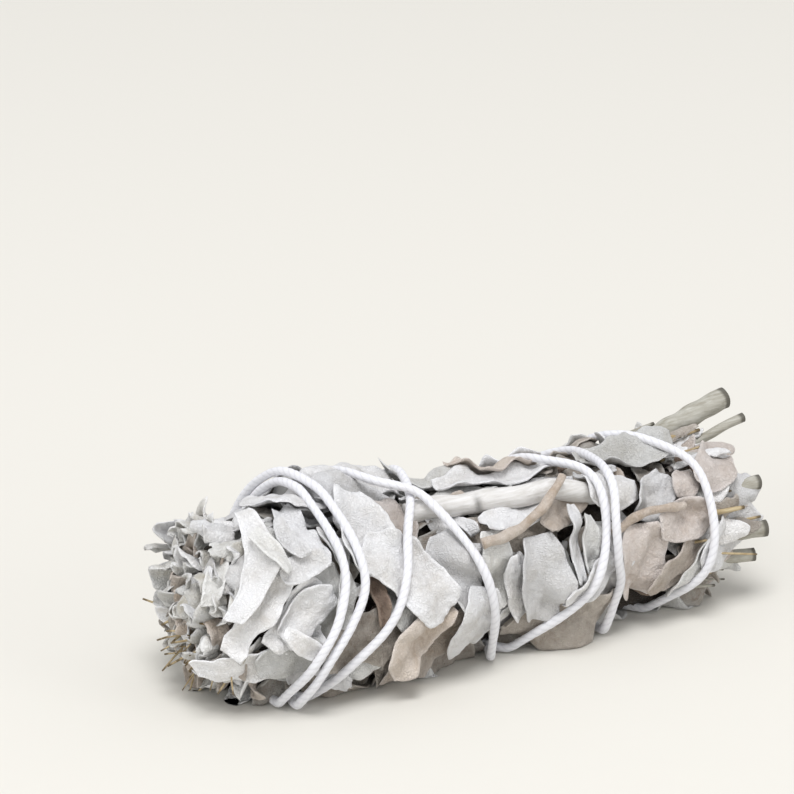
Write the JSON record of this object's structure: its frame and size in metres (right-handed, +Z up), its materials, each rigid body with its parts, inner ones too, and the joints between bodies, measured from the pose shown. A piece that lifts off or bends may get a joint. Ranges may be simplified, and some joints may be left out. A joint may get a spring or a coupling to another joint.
{
  "type": "sage bunch",
  "caption": "Dried white sage sprigs rolled tight in broad felted leaves and bound end to end and back by one cotton string.",
  "frame": {"origin": "on the surface the bunch lies on, under the middle of its box", "axes": "+X along the bunch towards its cut stems, leaf tips at -X, +Z up, -Y towards the pictured side"},
  "size_m": [0.1202, 0.0395, 0.0364],
  "materials": {
    "leaf_white": "dry felted leaf, chalky white grey",
    "leaf_grey": "dry felted leaf, grey green",
    "leaf_tan": "dry leaf with its felt worn off, tan to pinkish brown",
    "stem_wood": "dry woody stem, matte",
    "cotton_string": "twisted cotton string, slightly fuzzy"
  },
  "bodies": {
    "root": {"packed_sprigs": "leaf_grey", "stem_thick": "stem_wood", "stem_thin": "stem_wood", "stem_forked": "stem_wood", "stem_low": "stem_wood", "stem_front": "stem_wood", "stem_back": "stem_wood", "stem_middle": "stem_wood", "stem_outer": "stem_wood", "tan_leaf_low_right": "leaf_tan", "tan_leaf_low_left": "leaf_tan", "tan_leaf_low_middle": "leaf_tan", "tan_leaf_middle": "leaf_tan", "wrap_leaf_left_side": "leaf_white", "wrap_leaf_right_side": "leaf_grey", "wrap_leaf_corner": "leaf_white", "wrap_leaf_low_tip": "leaf_grey", "wrap_leaf_strap": "leaf_white", "wrap_leaf_blunt": "leaf_white", "wrap_leaf_wavy": "leaf_white", "wrap_leaf_tongue": "leaf_white", "wrap_leaf_rim": "leaf_white", "wrap_leaf_shoulder": "leaf_white", "wrap_leaf_top_left": "leaf_white", "pink_leaf_top": "leaf_tan", "wrap_leaf_broad_left": "leaf_white", "wrap_leaf_under_string": "leaf_white", "wrap_leaf_low_left": "leaf_white", "wrap_leaf_fold": "leaf_white", "wrap_leaf_broad_middle": "leaf_white", "wrap_leaf_triangle": "leaf_white", "tan_leaf_slant": "leaf_tan", "wrap_leaf_low_slant": "leaf_white", "wrap_leaf_long": "leaf_white", "tan_leaf_top": "leaf_tan", "wrap_leaf_top_right": "leaf_grey", "wrap_leaf_square": "leaf_white", "wrap_leaf_star": "leaf_white", "pink_leaf_butt": "leaf_tan", "tan_leaf_broad": "leaf_tan", "tan_leaf_diagonal": "leaf_tan", "tan_leaf_round": "leaf_tan", "wrap_leaf_last_string": "leaf_grey", "wrap_leaf_butt": "leaf_white", "pink_leaf_end": "leaf_tan", "back_leaf_01": "leaf_white", "back_leaf_02": "leaf_white", "back_leaf_03": "leaf_white", "back_leaf_04": "leaf_tan", "back_leaf_05": "leaf_tan", "back_leaf_06": "leaf_grey", "back_leaf_07": "leaf_white", "back_leaf_08": "leaf_white", "back_leaf_09": "leaf_white", "back_leaf_10": "leaf_tan", "back_leaf_11": "leaf_tan", "back_leaf_12": "leaf_grey", "rolled_leaf_slant": "leaf_tan", "rolled_leaf_butt": "leaf_tan", "tie_string": "cotton_string"}
  },
  "joints": []
}
